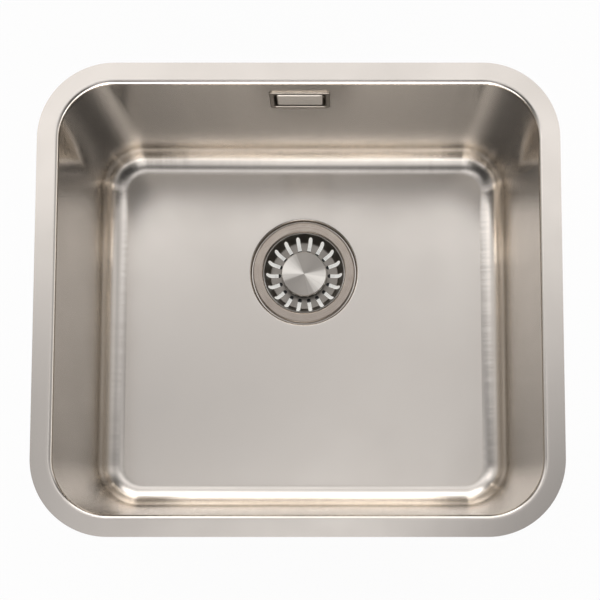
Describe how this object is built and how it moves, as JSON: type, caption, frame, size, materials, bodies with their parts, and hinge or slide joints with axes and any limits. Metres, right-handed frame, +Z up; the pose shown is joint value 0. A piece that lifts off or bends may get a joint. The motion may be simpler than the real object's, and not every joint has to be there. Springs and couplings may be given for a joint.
{
  "type": "undermount kitchen sink",
  "caption": "Undermount stainless kitchen sink bowl with rounded corners, a basket strainer waste, a rectangular rear overflow and the pipe that joins them.",
  "frame": {"origin": "middle of the flange's top face, the face bonded to the underside of the worktop", "axes": "+X to the user's right, +Y to the rear, where the overflow is, +Z up"},
  "size_m": [0.49, 0.452, 0.281],
  "materials": {
    "satin_stainless": "satin finish, deep drawn",
    "polished_steel": "fine satin to bright, pressed",
    "turned_steel": "faced on a lathe",
    "steel_fastener": "plain stainless",
    "white_polypropylene": "injection moulded",
    "black_rubber": "moulded",
    "damping_pad": "pressed sheet",
    "brass": "turned"
  },
  "bodies": {
    "sink": {"bolt_insert": "brass", "bowl": "satin_stainless", "clamp_bolt": "steel_fastener", "cup_flange_seal": "black_rubber", "overflow_frame": "satin_stainless", "overflow_gasket": "black_rubber", "overflow_housing": "white_polypropylene", "overflow_pipe": "white_polypropylene", "overflow_screws": "steel_fastener", "pipe_nut_lower": "white_polypropylene", "pipe_nut_upper": "white_polypropylene", "pipe_seal_lower": "black_rubber", "pipe_seal_upper": "black_rubber", "sound_pad_floor_left": "damping_pad", "sound_pad_floor_right": "damping_pad", "sound_pad_wall_front": "damping_pad", "sound_pad_wall_left": "damping_pad", "sound_pad_wall_right": "damping_pad", "strainer_cup": "white_polypropylene", "strainer_trim_ring": "polished_steel", "waste_body": "white_polypropylene", "waste_body_seal": "black_rubber"},
    "basket_ring": {"basket_snap_ring": "steel_fastener"},
    "basket": {"basket_dish": "polished_steel", "basket_knob_cap": "turned_steel", "basket_stem": "steel_fastener", "basket_seal": "black_rubber", "basket_seal_retainer": "white_polypropylene"},
    "overflow_cover": {"overflow_cover": "polished_steel", "overflow_cover_clips": "steel_fastener"}
  },
  "joints": [
    {"name": "basket_lift", "type": "slide", "parent": "sink", "child": "basket_ring", "axis": [0, 0, 1], "range_m": [0, 0.25]},
    {"name": "basket_turn", "type": "hinge", "parent": "basket_ring", "child": "basket", "pos_m": [0, 0.062, -0.185], "axis": [0, 0, 1], "continuous": true},
    {"name": "overflow_cover_pull", "type": "slide", "parent": "sink", "child": "overflow_cover", "axis": [0, -0.999, 0.0436], "range_m": [0, 0.03]}
  ]
}
